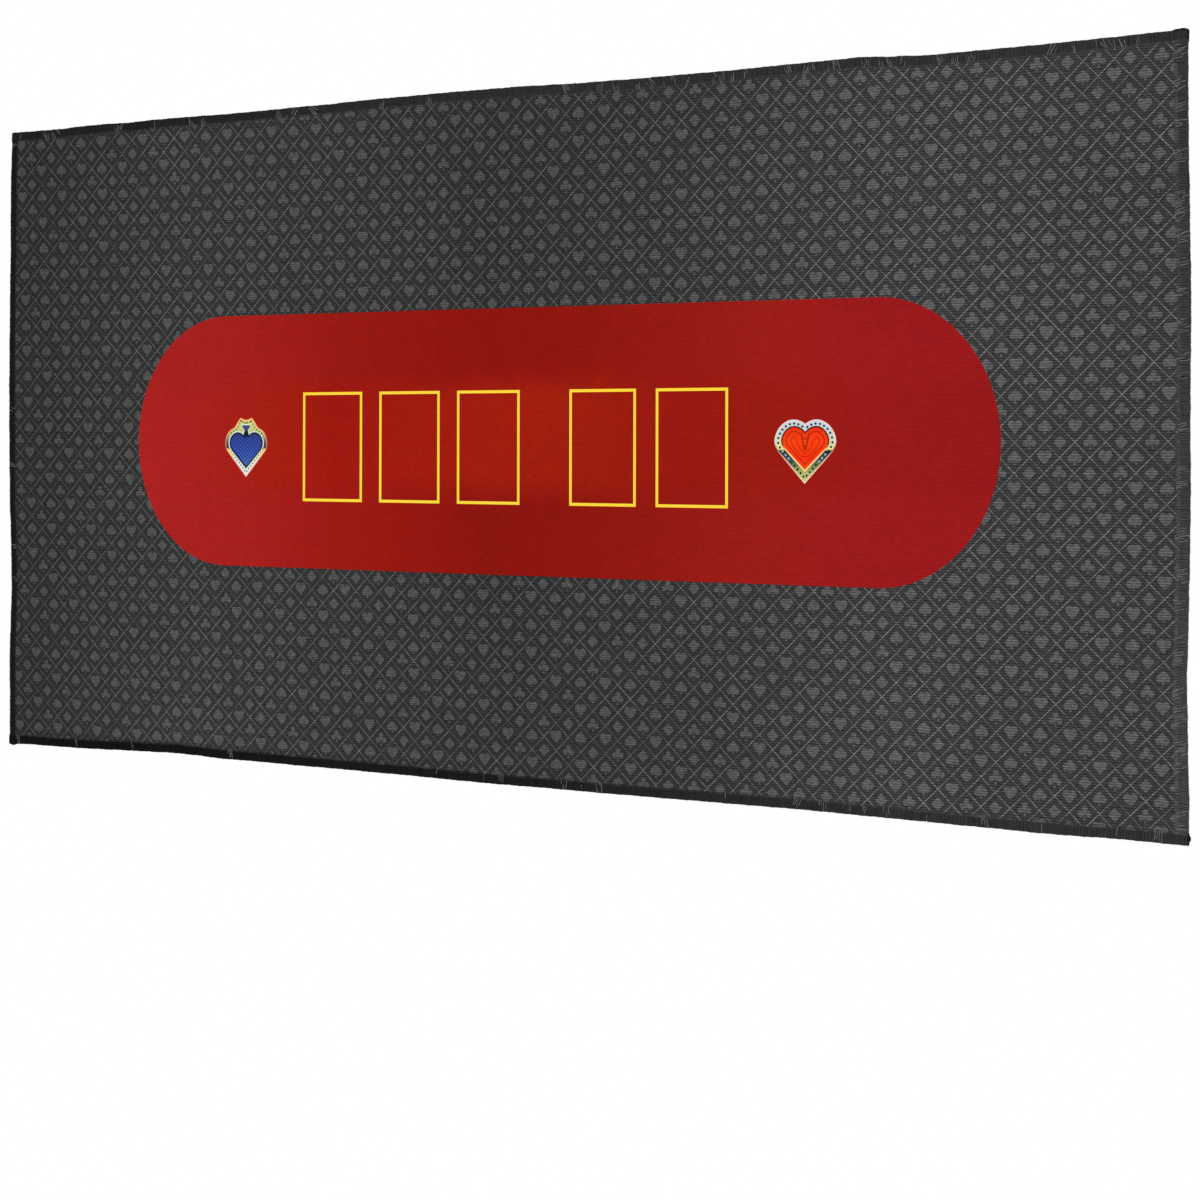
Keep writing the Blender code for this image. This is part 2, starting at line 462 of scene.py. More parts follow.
def felt():
    n = Nodes("felt_cloth", 0.95)
    x, y = n.rest()
    fibre = n.noise(1100, 4, 0.65, (1.0, 0.45, 1.0), 0.6)
    cross = n.noise(900, 3, 0.6, (0.4, 1.0, 1.0), 0.4)
    cloud = n.noise(9, 3, 0.55)
    nap = n.noise(45, 2, 0.5)
    k = n.add(n.mul(n.sub(fibre, 0.5), 0.55), n.mul(n.sub(cross, 0.5), 0.45))
    k = n.add(k, n.add(n.mul(n.sub(cloud, 0.5), 0.20), n.mul(n.sub(nap, 0.5), 0.16)))
    grey = n.t.nodes.new("ShaderNodeCombineColor")
    for i in range(3):
        n.put(grey.inputs[i], n.add(1.0, k))
    c = n.mix(1.0, lin(65, 66, 66), grey.outputs[0], "MULTIPLY")
    n.bump(n.add(fibre, cross), 0.22 * MM, 0.5)
    n.p.inputs["Sheen Weight"].default_value = 0.18
    n.p.inputs["Sheen Roughness"].default_value = 0.45
    n.p.inputs["Specular IOR Level"].default_value = 0.12
    return n.colour(c)


def inked(name, colour, wear=0.25):
    """A screen-printed colour on the felt: the fibres show through it."""
    n = Nodes(name, 0.9)
    x, y = n.rest()
    fibre = n.noise(1100, 4, 0.65, (1.0, 0.45, 1.0), 0.6)
    gone = n.ramp(n.noise(1600, 3, 0.6), 0.62, 0.80)
    k = n.add(1.0, n.mul(n.sub(fibre, 0.5), 0.5))
    grey = n.t.nodes.new("ShaderNodeCombineColor")
    for i in range(3):
        n.put(grey.inputs[i], k)
    c = n.mix(1.0, colour, grey.outputs[0], "MULTIPLY")
    c = n.mix(n.mul(gone, wear), c, lin(66))
    n.bump(fibre, 0.2 * MM, 0.4)
    n.p.inputs["Specular IOR Level"].default_value = 0.15
    return n.colour(c)


def thread(name, colour, rough=0.62, vary=0.5, axis=0):
    """Spun polyester yarn: a twist along it, and fuzz. Where colour is three
    levels, they run from the low end of the mat's axis to its high end."""
    n = Nodes(name, rough)
    x, y = n.rest()
    # three levels paint light and shade along one side of the mat
    if isinstance(colour[0], tuple):
        r = n.t.nodes.new("ShaderNodeValToRGB")
        e = r.color_ramp.elements
        e.new(0.5)
        for k, (at, c) in enumerate(zip((0.12, 0.48, 0.85), colour)):
            e[k].position, e[k].color = at, (*c, 1)
        half = (X1, Y1)[axis]
        n.put(r.inputs[0], n.mul(n.add((x, y)[axis], half), 0.5 / half))
        colour = r.outputs[0]
    twist = n.math("SINE", n.mul(n.add(n.add(x, y), n.mul(n.sub(n.noise(700, 2), 0.5), 0.0012)), 2 * math.pi / (0.55 * MM)))
    fuzz = n.noise(2200, 2, 0.6)
    wide = n.noise(120, 2, 0.5)
    k = n.add(n.mul(twist, 0.18), n.add(n.mul(n.sub(fuzz, 0.5), vary), n.mul(n.sub(wide, 0.5), 0.7)))
    grey = n.t.nodes.new("ShaderNodeCombineColor")
    for i in range(3):
        n.put(grey.inputs[i], n.add(1.0, k))
    c = n.mix(1.0, colour, grey.outputs[0], "MULTIPLY")
    n.bump(n.add(n.mul(twist, 0.4), fuzz), 0.12 * MM, 0.5)
    n.p.inputs["Specular IOR Level"].default_value = 0.1
    return n.colour(c)


MAT = {
    "suited": suited_cloth(),
    "red": track_red(),
    "yellow": printed("card_line_yellow", seen(252, 216, 62), 0.05, 0.10),
    "stud": printed("stud_dark", seen(30, 42, 40), 0.0, 0.1),
    "stud_pale": printed("stud_pale", seen(150, 168, 186), 0.0, 0.1),
    "navy": printed("emblem_navy", seen(26, 34, 66), 0.0, 0.1),
    "slate": printed("emblem_slate", seen(66, 76, 112), 0.0, 0.1),
    "pale_green": printed("emblem_outline", seen(214, 224, 196), 0.0, 0.1),
    "brown": printed("heart_outline", seen(84, 34, 20), 0.0, 0.1),
    "ember": printed("heart_lines", seen(164, 46, 4), 0.0, 0.1),
    "felt": felt(),
    "line": inked("layout_line", lin(158, 161, 161)),
    "white": inked("ornament_white", lin(176, 178, 178)),
    "gold": inked("ornament_yellow", lin(205, 184, 22)),
    "crimson": inked("ornament_red", lin(160, 26, 32)),
    "yarn": thread("overlock_thread", lin(25, 25, 26)),
    # painted light and shade: the wound yarn is one black thread all round; it is painted paler on the front and right
    # sides, where the light fell, and darker on the back and left, in shade, and the three-level copies grow paler
    # along their side
    "yarn_front": thread("overlock_thread_front_painted_light", (lin(34), lin(52), lin(58))),
    "yarn_back": thread("overlock_thread_back_painted_light_and_shade", (lin(9), lin(26), lin(58))),
    "yarn_right": thread("overlock_thread_right_painted_light", (lin(66), lin(74), lin(82)), axis=1),
    "yarn_left": thread("overlock_thread_left_painted_shade", lin(20, 20, 21)),
    "core": thread("overlock_core", lin(19, 19, 20)),
    "pale": thread("loose_thread", lin(150, 151, 150), 0.6, 0.3),
    "needle": thread("needle_thread", lin(96, 96, 95), 0.6, 0.3),
}


# ---------------------------------------------------------------- flat figures
def arc(cx, cy, r, a0, a1, n):
    return [
        (cx + r * math.cos(math.radians(a0 + (a1 - a0) * k / n)),
         cy + r * math.sin(math.radians(a0 + (a1 - a0) * k / n)))
        for k in range(n + 1)
    ]


def heart_loop(a, r, tip, n=12):
    """A heart, tip down at (0, -tip), with lobes of radius r about (+-a, 0)."""
    d = math.hypot(a, tip)
    start = math.atan2(-tip, -a) + math.acos(r / d)
    end = math.acos(max(-1.0, -a / r))
    right = [
        (a + r * math.cos(start + (end - start) * k / n), r * math.sin(start + (end - start) * k / n))
        for k in range(n + 1)
    ]
    left = [(-px, py) for px, py in reversed(right[:-1])]
    return [(0.0, -tip)] + right + left


def circle_loop(cx, cy, r, n=10):
    return [(cx + r * math.cos(2 * math.pi * k / n), cy + r * math.sin(2 * math.pi * k / n)) for k in range(n)]


def moved(shapes, place, size=1.0, turn=0.0):
    """Shapes (lists of loops) scaled, turned (radians) and put at a place."""
    c, s = math.cos(turn), math.sin(turn)
    return [
        [[(place[0] + size * (px * c - py * s), place[1] + size * (px * s + py * c)) for px, py in loop] for loop in shape]
        for shape in shapes
    ]


def icon(kind, n=5):
    """A card suit about one unit high."""
    if kind == "heart":
        return moved([[heart_loop(0.215, 0.235, 0.62, n)]], (0, 0.12))
    if kind == "diamond":
        return [[[(0, -0.5), (0.36, 0), (0, 0.5), (-0.36, 0)]]]
    if kind == "lozenge":
        return [[[(0, -0.42), (0.26, 0), (0, 0.42), (-0.26, 0)]]]
    foot = [[(-0.17, -0.5), (0.17, -0.5), (0.05, -0.12), (-0.05, -0.12)]]
    if kind == "spade":
        up = [[(px, -py) for px, py in reversed(heart_loop(0.20, 0.22, 0.58, n))]]
        return moved([up], (0, -0.08)) + [foot]
    return [
        [circle_loop(0, 0.24, 0.21, 2 * n)],
        [circle_loop(-0.22, -0.10, 0.21, 2 * n)],
        [circle_loop(0.22, -0.10, 0.21, 2 * n)],
        [[(-0.08, -0.08), (0.08, -0.08), (0.06, 0.12), (-0.06, 0.12)]],
        foot,
    ]


def stroke(points, width, closed=True):
    """A line of this width along the points, as one shape of two loops."""
    n, sides = len(points), []
    for way in (1, -1):
        loop = []
        for k in range(n):
            a, b, c = points[k - 1], points[k], points[(k + 1) % n]
            d1 = (b[0] - a[0], b[1] - a[1])
            d2 = (c[0] - b[0], c[1] - b[1])
            l1, l2 = math.hypot(*d1), math.hypot(*d2)
            n1, n2 = (-d1[1] / l1, d1[0] / l1), (-d2[1] / l2, d2[0] / l2)
            m = (n1[0] + n2[0], n1[1] + n2[1])
            k2 = max(0.35, (m[0] * m[0] + m[1] * m[1]) / 2)
            loop.append((b[0] + way * width / 2 * m[0] / k2, b[1] + way * width / 2 * m[1] / k2))
        sides.append(loop)
    return sides


def bar(a, b, width):
    d = (b[0] - a[0], b[1] - a[1])
    q = math.hypot(*d)
    nx, ny = -d[1] / q * width / 2, d[0] / q * width / 2
    return [[(a[0] + nx, a[1] + ny), (a[0] - nx, a[1] - ny), (b[0] - nx, b[1] - ny), (b[0] + nx, b[1] + ny)]]


# ------------------------------------------------- what is printed on each face
W_MM = WIDTH / MM


def on_poker(u, v):
    """Poker layout place, in mat widths from its far left corner, in mm."""
    return ((u - 1) * W_MM, (v - 0.5) * W_MM)


poker = []      # (material key, shapes), the uppermost first

def mirrored(right):
    """A loop from its right half, given from the top middle to the tip."""
    return right + [(-px, py) for px, py in reversed(right[1:-1])]


def rounded(points, n=4):
    """The same loop through the points, rounded between them except at sharp ones."""
    out, m = [], len(points)
    for k in range(m):
        p0, p1, p2, p3 = (points[(k + q) % m] for q in (-1, 0, 1, 2))
        sharp = []
        for a, b, c in ((p0, p1, p2), (p1, p2, p3)):
            v, w = (b[0] - a[0], b[1] - a[1]), (c[0] - b[0], c[1] - b[1])
            sharp.append((v[0] * w[0] + v[1] * w[1]) / (math.hypot(*v) * math.hypot(*w)) < 0.72)
        q = math.hypot(p2[0] - p1[0], p2[1] - p1[1])
        if q > 12:
            out.append(p1)
            continue
        t1 = (0, 0) if sharp[0] else ((p2[0] - p0[0]) / 2, (p2[1] - p0[1]) / 2)
        t2 = (0, 0) if sharp[1] else ((p3[0] - p1[0]) / 2, (p3[1] - p1[1]) / 2)
        t1 = [c * min(1.0, q / max(1e-9, math.hypot(*t1))) for c in t1]
        t2 = [c * min(1.0, q / max(1e-9, math.hypot(*t2))) for c in t2]
        for i in range(n):
            f = i / n
            h = (2 * f**3 - 3 * f**2 + 1, f**3 - 2 * f**2 + f, -2 * f**3 + 3 * f**2, f**3 - f**2)
            out.append(tuple(h[0] * p1[d] + h[1] * t1[d] + h[2] * p2[d] + h[3] * t2[d] for d in (0, 1)))
    return out


def inset(loop, by):
    """A loop moved inwards."""
    area = sum(a[0] * b[1] - a[1] * b[0] for a, b in zip(loop, loop[1:] + loop[:1]))
    outer, inner = stroke(loop, 2 * by)
    return outer if area > 0 else inner


def studs(loop, step, r, skip=0.0):
    """Round studs every step along a loop, as (place, shape)."""
    pts = loop + [loop[0]]
    out, run = [], skip
    for (ax, ay), (bx, by) in zip(pts, pts[1:]):
        q = math.hypot(bx - ax, by - ay)
        while run <= q:
            f = run / q
            at = (ax + (bx - ax) * f, ay + (by - ay) * f)
            out.append((at, [circle_loop(at[0], at[1], r, 8)]))
            run += step
        run -= q
    return out


# a studded spade at the left and a studded heart at the right, tips to +Y;
# their own shapes are in mm with the tip in +Y
spade_at, heart_at = (-306.3, 4.1), (285.8, 2.4)

spade_rim = rounded(mirrored([(0, -20.3), (6.8, -22.3), (10.2, -18.6), (14.2, -13.4), (19.8, -10.4), (23.6, -6.0),
                              (25.4, -0.5), (25.2, 4.8), (23.2, 8.8), (0, 33.2)]))
spade_band = inset(spade_rim, 1.15)
flip = lambda loop: [(px, -py) for px, py in loop]
drop = lambda loop: [(px, py + 1.4) for px, py in flip(loop)]
spade_pale = [[drop(heart_loop(10.2, 11.4, 25.9, 14))], [[(-7.0, -16.7), (7.0, -16.7), (3.6, -10.5), (4.8, -6), (-4.8, -6), (-3.6, -10.5)]]]
spade_edge = [[drop(heart_loop(10.1, 10.2, 23.9, 14))], [[(-2.0, -10.2), (2.0, -10.2), (3.6, -5.0), (-3.6, -5.0)]], [circle_loop(0, -3.0, 3.4)]]
spade_body = [[drop(heart_loop(9.9, 8.7, 21.6, 14))], [circle_loop(0, -1.6, 2.8)]]
spade_stem = [[[(-5.6, -15.2), (5.6, -15.2), (1.8, -9.9), (-1.8, -9.9)]]]

heart_rim = rounded(mirrored([(0, -13.4), (2.8, -15.0), (6.5, -16.4), (10.5, -16.9), (14.6, -16.4), (18.6, -14.7), (22.3, -12.0),
                              (25.3, -8.5), (27.4, -4.4), (28.4, -0.2), (28.0, 3.8), (26.4, 7.4), (24.0, 10.6), (-0.5, 35.6)]), 3)
heart_band = inset(heart_rim, 0.95)
heart_dark = rounded(mirrored([(0, -7.0), (2.3, -9.1), (5.7, -10.9), (9.8, -11.7), (14.0, -11.0), (17.9, -8.5), (20.9, -4.6), (22.2, -0.4),
                               (21.8, 3.2), (20.0, 6.8), (-0.3, 26.1)]), 3)
heart_body = inset(heart_dark, 1.3)
heart_lines = [stroke(inset(heart_dark, 4.6), 0.9)]
heart_lines += [[[(-4.6, -5.6), (-3.4, -6.6), (-0.9, 4.2), (0.5, 4.2), (3.2, -6.0), (4.4, -5.0), (1.0, 8.6), (-1.2, 8.6)]]]
heart_lines += [stroke([(10.6, -2.6), (13.6, 0.2), (10.0, 6.5), (3.2, 13.2), (-3.4, 13.2), (-10.2, 6.5), (-13.6, 0.0), (-10.4, -2.8),
                        (-7.6, 0.2), (-5.4, 6.2), (0.0, 11.2), (5.2, 6.2), (7.6, 0.2)], 0.7)]

heart_studs = studs(inset(heart_rim, 3.3), 4.05, 1.08, 2.4)
spade_studs = studs(inset(spade_rim, 3.0), 3.45, 0.80, 1.2)
spade_studs += studs([(-2.2, -17.6), (2.2, -17.6)], 4.3, 0.6, 0.0)[:2]
poker += [
    ("ember", moved(heart_lines, heart_at)),
    ("heart", moved([[heart_body]], heart_at)),
    ("heart_key", moved([[heart_dark]], heart_at)),
    ("stud_pale", moved([shape for (px, py), shape in heart_studs if 9.0 < py < 17.5], heart_at, 1.0)),
    ("stud", moved([shape for (px, py), shape in heart_studs if not 9.0 < py < 17.5], heart_at)),
    ("heart_ring", moved([[heart_band]], heart_at)),
    ("heart_rim", moved([[heart_rim]], heart_at)),
    ("spade", moved(spade_body, spade_at)),
    ("slate", moved(spade_stem, spade_at)),
    ("navy", moved(spade_edge, spade_at)),
    ("pale_green", moved(spade_pale, spade_at)),
    ("stud", moved([shape for (px, py), shape in spade_studs if not -7.0 < py < 6.0], spade_at)),
    ("spade_ring", moved([[spade_band]], spade_at)),
    ("spade_rim", moved([[spade_rim]], spade_at)),
]

LINE = 2.55
for u0, u1 in ((0.6096, 0.7222), (0.7544, 0.8649), (0.8962, 1.0065), (1.0918, 1.2027), (1.2350, 1.3503)):
    (ax, ay), (bx, by) = on_poker(u0, 0.4322), on_poker(u1, 0.5970)
    h = LINE / 2
    poker.append(("yellow", [stroke([(ax + h, ay + h), (bx - h, ay + h), (bx - h, by - h), (ax + h, by - h)], LINE)]))

def ellipse(cx, cy, rx, ry, a0, a1, n):
    return [(cx + rx * px, cy + ry * py) for px, py in arc(0, 0, 1.0, a0, a1, n)]


# the red racetrack: straight sides and slightly flattened ends
track = ellipse(350.8, 4.2, 107.5, 116.8, -90, 90, 48) + ellipse(-332.2, 3.4, 108.6, 117.5, 90, 270, 48)
poker.append(("red", [[track]]))

hx, hy = heart_at[0] * MM, heart_at[1] * MM
sx, sy = spade_at[0] * MM, spade_at[1] * MM
MAT["heart"] = banded("heart_fill", [(0, seen(232, 44, 14)), (0.35, seen(255, 66, 6)), (0.7, seen(250, 48, 10)), (1, seen(255, 74, 10))],
                      1, hy - 0.012, hy + 0.026, (2300, hx, -2600, 0.30, False), 1.4)
MAT["heart_key"] = banded("heart_key", [(0, seen(58, 34, 26)), (0.40, seen(92, 44, 26)), (0.52, seen(240, 190, 110)), (0.7, seen(252, 222, 150)), (1, seen(250, 220, 120))],
                          1, hy - 0.012, hy + 0.026)
MAT["heart_ring"] = banded("heart_band", [(0, seen(206, 210, 220)), (0.20, seen(200, 210, 208)), (0.34, seen(214, 216, 176)), (0.455, seen(232, 222, 140)), (0.475, seen(36, 38, 40)),
                                          (0.60, seen(62, 74, 84)), (0.70, seen(112, 118, 82)), (0.82, seen(176, 182, 108)), (1, seen(206, 206, 140))],
                           1, hy - 0.0166, hy + 0.0365)
MAT["heart_rim"] = banded("heart_rim", [(0, seen(240, 218, 218)), (0.35, seen(240, 214, 206)), (0.46, seen(160, 110, 90)), (0.60, seen(236, 196, 160)), (1, seen(246, 222, 190))],
                          1, hy - 0.0170, hy + 0.0365)
MAT["spade"] = banded("spade_fill", [(0, seen(48, 60, 118)), (0.3, seen(50, 68, 148)), (0.7, seen(54, 80, 160)), (1, seen(78, 106, 180))],
                      1, sy - 0.010, sy + 0.024, (2 * math.pi / 0.0037, sx, 2 * math.pi / 0.0037, 0.85, True), 0.9)
MAT["spade_ring"] = banded("spade_band", [(0, seen(226, 206, 116)), (0.16, seen(204, 206, 128)), (0.28, seen(176, 176, 104)), (0.35, seen(120, 126, 112)), (0.42, seen(64, 78, 98)),
                                          (0.505, seen(44, 50, 64)), (0.52, seen(250, 218, 140)), (0.62, seen(238, 222, 160)), (0.70, seen(222, 226, 218)), (1, seen(226, 234, 234))],
                           1, sy - 0.0226, sy + 0.0346)
MAT["spade_rim"] = banded("spade_rim", [(0, seen(244, 176, 112)), (0.22, seen(238, 168, 118)), (0.40, seen(206, 130, 112)), (0.50, seen(206, 128, 104)), (0.56, seen(246, 190, 116)),
                                        (0.70, seen(240, 200, 186)), (1, seen(242, 206, 200))],
                          1, sy - 0.0226, sy + 0.0346)

S_MM = W_MM / 900.0
MIDDLE = 895.0


def on_felt(qx, qy):
    """Blackjack layout place, in 900ths of the mat's width from its dealer-side
    left corner, in mm. The layout is centred on the mat."""
    return ((qx - MIDDLE) * S_MM, (450 - qy) * S_MM)


blackjack = []
THIN = 1.55


def ring_row(cy, radius, angles, kinds, size, key):
    """Icons along an arc about (middle, cy), standing on its radius."""
    out = []
    for k, deg in enumerate(angles):
        t = math.radians(deg)
        at = on_felt(MIDDLE + radius * math.sin(t), cy + radius * math.cos(t))
        out += moved(icon(kinds[k % len(kinds)], 4), at, size, t)
    blackjack.append((key, out))


def spread_over(a, b, n):
    return [a + (b - a) * k / (n - 1) for k in range(n)]


band_line = [on_felt(MIDDLE + sx_, sy_) for sx_, sy_ in ((-378, 235), (-304, 268))]
inner = arc(MIDDLE, 402 - 411.8, 411.8, 0, 360, 1)
half_in = math.degrees(math.asin(304 / 411.8))
half_out = math.degrees(math.asin(383 / 485.7))
for k in range(1, 26):
    t = math.radians(-half_in + 2 * half_in * k / 26)
    band_line.append(on_felt(MIDDLE + 411.8 * math.sin(t), 402 - 411.8 + 411.8 * math.cos(t)))
band_line += [on_felt(MIDDLE + sx_, sy_) for sx_, sy_ in ((304, 268), (378, 235), (383, 280))]
for k in range(1, 30):
    t = math.radians(half_out - 2 * half_out * k / 30)
    band_line.append(on_felt(MIDDLE + 485.7 * math.sin(t), 467 - 485.7 + 485.7 * math.cos(t)))
band_line.append(on_felt(MIDDLE - 383, 280))
blackjack.append(("line", [stroke(band_line, THIN)]))

BOXES = [
    ((428, 240), (465, 303), (341, 375), (298, 313), (378, 266), (415, 330)),
    ((528, 375), (588, 422), (492, 530), (432, 482), (497, 420), (548, 461)),
    ((680, 471), (754, 496), (705, 630), (629, 605), (660, 528), (733, 550)),
    ((856, 514), (936, 514), (938, 656), (858, 656), (857, 571), (937, 571)),
]
BOXES += [
    tuple((2 * MIDDLE - qx, qy) for qx, qy in (b[1], b[0], b[3], b[2], b[5], b[4]))
    for b in reversed(BOXES[:3])
]
lines, marks = [], []
for tl, tr, br, bl, dl, dr in BOXES:
    c = [on_felt(*q) for q in (tl, tr, br, bl)]
    lines.append(stroke(c, THIN))
    a, b = on_felt(*dl), on_felt(*dr)
    lines.append(bar(a, b, THIN))
    # the side bet's cell: two short rows of small suits
    top = [(c[0][k] + c[1][k]) / 2 for k in (0, 1)]
    low = [(a[k] + b[k]) / 2 for k in (0, 1)]
    across = [(c[1][k] - c[0][k]) for k in (0, 1)]
    down = [low[k] - top[k] for k in (0, 1)]
    turn = math.atan2(across[1], across[0])
    for row, (f, kinds) in enumerate(((0.30, ("spade", "heart", "club")), (0.70, ("lozenge",) * 4))):
        for k, kind in enumerate(kinds):
            g = (k - (len(kinds) - 1) / 2) * (0.235 if len(kinds) == 3 else 0.215)
            at = [top[i] + down[i] * f + across[i] * g for i in (0, 1)]
            marks += moved(icon(kind, 4), at, 11.5 if row == 0 else 12.5, turn)
blackjack.append(("line", lines))
blackjack.append(("gold", marks))
note = []
for qx in spread_over(240, 364, 8):
    note += moved(icon("lozenge"), on_felt(qx, 243), 10.5)
for qx in spread_over(266, 338, 5):
    note += moved(icon("lozenge"), on_felt(qx, 262), 10.5)
blackjack.append(("gold", note))

SUITS = ("spade", "heart", "club", "diamond")
ring_row(-15, 449, spread_over(-45.0, -20.6, 8), SUITS, 17.5, "white")
ring_row(-15, 449, spread_over(20.6, 45.0, 8), tuple(reversed(SUITS)), 17.5, "white")
ring_row(-15, 448, spread_over(-14.0, 14.0, 9), ("spade", "diamond", "club", "heart"), 18.5, "gold")
ring_row(-79, 416, spread_over(-33.5, 33.5, 19), ("heart", "diamond"), 19.0, "crimson")
ring_row(-55, 430, spread_over(-38.0, 38.0, 35), ("lozenge", "lozenge", "diamond"), 13.0, "gold")


# ------------------------------------------------------------ the cloth's surface
def inside(loop, pts):
    """Even-odd test of many points against one loop."""
    hit = np.zeros(len(pts), bool)
    a = np.array(loop, float)
    b = np.roll(a, -1, 0)
    for (ax, ay), (bx, by) in zip(a, b):
        if ay == by:
            continue
        cross = (ay > pts[:, 1]) != (by > pts[:, 1])
        if not cross.any():
            continue
        xs = ax + (pts[cross, 1] - ay) / (by - ay) * (bx - ax)
        hit[cross] ^= pts[cross, 0] < xs
    return hit


def covers(shapes, pts):
    found = np.zeros(len(pts), bool)
    for shape in shapes:
        lo = np.min([np.min(l, 0) for l in shape], 0)
        hi = np.max([np.max(l, 0) for l in shape], 0)
        near = np.flatnonzero(((pts >= lo) & (pts <= hi)).all(1))
        if len(near):
            odd = np.zeros(len(near), bool)
            for loop in shape:
                odd ^= inside(loop, pts[near])
            found[near] |= odd
    return found


UNDER_YARN = 8.0        # the cloth runs on under the edging, this far from its outer edge
FLAT_CUTS = [X0 / MM, -300.0, 0.0, CUTS[0] / MM]


def lay_out(layers):
    """Triangles of one face in mm, with the layer and the length each is in."""
    xa, xb = X0 / MM + UNDER_YARN, X1 / MM - UNDER_YARN
    ya, yb = Y0 / MM + UNDER_YARN, Y1 / MM - UNDER_YARN
    verts, edges = [], []

    def loop_in(loop):
        base = len(verts)
        verts.extend(Vector(p) for p in loop)
        edges.extend((base + k, base + (k + 1) % len(loop)) for k in range(len(loop)))

    def side_of(a, b):
        n = int(round(math.dist(a, b) / 5.5))
        return [(a[0] + (b[0] - a[0]) * k / n, a[1] + (b[1] - a[1]) * k / n) for k in range(n)]

    corners = [(xa, ya), (xb, ya), (xb, yb), (xa, yb)]
    loop_in([p for k in range(4) for p in side_of(corners[k], corners[(k + 1) % 4])])
    for key, shapes in layers:
        for shape in shapes:
            for loop in shape:
                loop_in(loop)
    stops = [FLAT_CUTS[1], FLAT_CUTS[2]]
    for k in range(STRIPS):
        stops += [CUTS[k] / MM + PITCH / MM * m / 8 for m in range(8)]
    stops += [CUTS[-1] / MM + PITCH / MM * (1 + m / 8) for m in range(3)]
    for x in stops:
        if x < xb - 0.5:
            base = len(verts)
            verts.extend((Vector((x, ya - 1)), Vector((x, yb + 1))))
            edges.append((base, base + 1))
    rows = (2.6, 6.3, 11.1, 17.2)
    for x in np.arange(xa + 3, CUTS[0] / MM - 2, 5.5):
        for off in rows:
            verts += [Vector((float(x) + 0.37, ya + off)), Vector((float(x) + 0.61, yb - off))]
    for y in np.arange(ya + 23, yb - 21, 5.5):
        for off in rows:
            verts.append(Vector((xa + off, float(y) + 0.19)))
    for x in np.arange(xa + 24, CUTS[0] / MM - 2, 11.0):
        for y in np.arange(ya + 24, yb - 21, 11.0):
            verts.append(Vector((float(x) + 0.37, float(y) + 0.21)))
    for x in stops[2:]:
        if x < xb - 0.5:
            ys = [ya + off for off in rows] + list(np.arange(ya + 24, yb - 21, 11.0)) + [yb - off for off in rows]
            for y in ys:
                verts.append(Vector((x, float(y) + 0.13)))
    out = delaunay_2d_cdt(verts, edges, [], 0, 1e-3, False)
    p = np.array([tuple(v) for v in out[0]], float)
    f = np.array([t for t in out[2] if len(t) == 3], int)
    mid = p[f].mean(1)
    area = np.abs(np.cross(p[f[:, 1]] - p[f[:, 0]], p[f[:, 2]] - p[f[:, 0]])) / 2
    keep = (mid[:, 0] > xa) & (mid[:, 0] < xb) & (mid[:, 1] > ya) & (mid[:, 1] < yb) & (area > 1e-6)
    f, mid = f[keep], mid[keep]
    layer = np.full(len(f), -1)
    for k, (key, shapes) in enumerate(layers):
        free = np.flatnonzero(layer < 0)
        layer[free[covers(shapes, mid[free])]] = k
    walls = np.array(FLAT_CUTS[1:] + [c / MM for c in CUTS[1:]])
    part = np.searchsorted(walls, mid[:, 0])      # 0, 1, 2 lie flat; 3 on are the strips
    return p, f, layer, part


def new_mesh(name, verts, faces, keys, face_keys, rest=None, smooth=True):
    mesh = bpy.data.meshes.new(name)
    mesh.from_pydata([tuple(v) for v in verts], [], [tuple(int(i) for i in t) for t in faces])
    for k in keys:
        mesh.materials.append(MAT[k])
    mesh.polygons.foreach_set("material_index", np.asarray(face_keys, np.int32))
    mesh.polygons.foreach_set("use_smooth", np.full(len(mesh.polygons), smooth))
    rest = verts if rest is None else rest
    attribute = mesh.attributes.new("rest", "FLOAT_VECTOR", "POINT")
    attribute.data.foreach_set("vector", np.asarray(rest, np.float32).ravel())
    mesh.update()
    made = bpy.data.objects.new(name, mesh)
    bpy.context.scene.collection.objects.link(made)
    return made


def join_on(piece, part):
    """part 0..2 is hung on the sheet's body; from part 3 on, the piece only has its placement baked into its mesh."""
    if part < 3:
        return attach(piece, "sheet")
    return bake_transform(piece)


def build_face(title, layers, base_key, z, up, node):
    p, f, layer, part = lay_out(layers)
    x, y = p[:, 0] * MM, p[:, 1] * MM
    lift = swell(x, y)
    x, y = trim(x, y)
    xyz = np.stack([x, y, z + lift], 1)
    rest = np.stack([x, y, np.zeros(len(x))], 1)
    if not up:
        f = f[:, ::-1]
    names = [key for key, _ in layers]
    keys = sorted(set(names))
    made = {}
    area = np.abs(np.cross(p[f[:, 1]] - p[f[:, 0]], p[f[:, 2]] - p[f[:, 0]])) / 2e6
    for k in range(int(part.max()) + 1):
        for printed_on in (False, True):
            pick = (part == k) & ((layer >= 0) == printed_on)
            if not pick.any():
                continue
            used, faces = np.unique(f[pick], return_inverse=True)
            faces = faces.reshape(-1, 3)
            if printed_on:
                here = sorted({names[i] for i in layer[pick]})
                index = [here.index(names[i]) for i in layer[pick]]
            else:
                here, index = [base_key], np.zeros(pick.sum())
            label = "%s_%s_%s" % (title, "print" if printed_on else "face", "abc"[k] if k < 3 else "%02d" % (k - 2))
            piece = new_mesh(label, xyz[used], faces, here, index, rest[used])
            join_on(piece, k)
            made[(k, printed_on)] = (piece, float(area[pick].sum()))
    return made


poker_made = build_face("poker", poker, "suited", Z_POKER, False, "poker_cloth")
felt_made = build_face("blackjack", blackjack, "felt", Z_FELT, True, "blackjack_cloth")

